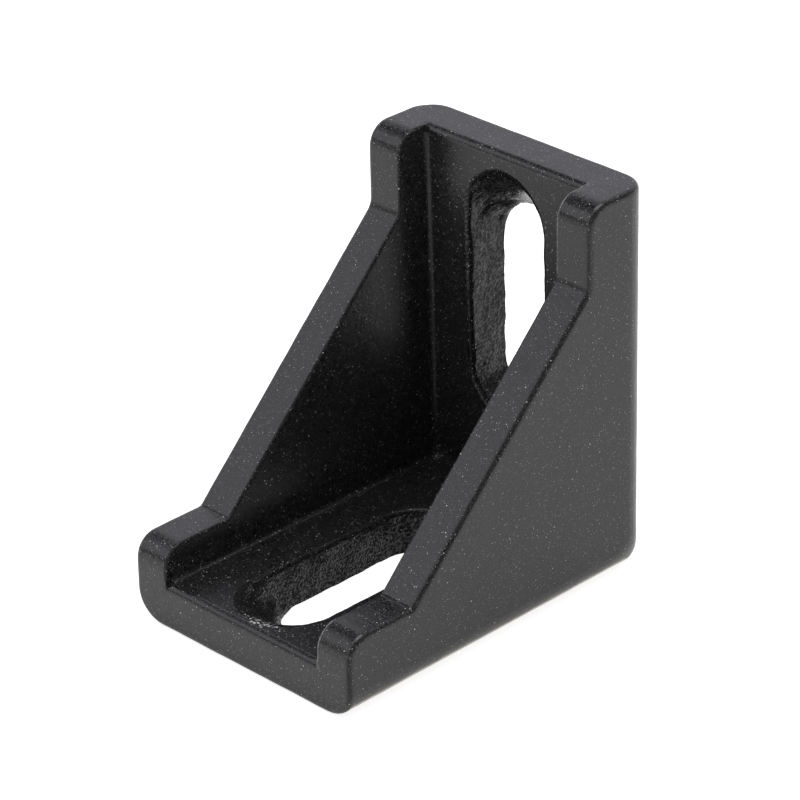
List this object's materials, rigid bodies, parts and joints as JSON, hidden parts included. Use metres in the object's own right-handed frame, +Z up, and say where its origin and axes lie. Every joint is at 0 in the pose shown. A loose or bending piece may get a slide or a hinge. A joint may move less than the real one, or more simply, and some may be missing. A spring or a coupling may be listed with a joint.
{
  "type": "t slot corner bracket",
  "caption": "Cast right-angle bracket: two slotted flanges closed by side walls with low lips and a straight slope, for joining slotted profiles.",
  "frame": {"origin": "middle of the footprint, on the outer face of the base flange", "axes": "+Z up along the upright flange, +Y out of the upright flange's outer face, X across the width"},
  "size_m": [0.02, 0.028, 0.028],
  "materials": {
    "powder_coat": "satin black powder coat on a die casting"
  },
  "bodies": {
    "root": {"corner_bracket": "powder_coat"}
  },
  "joints": []
}
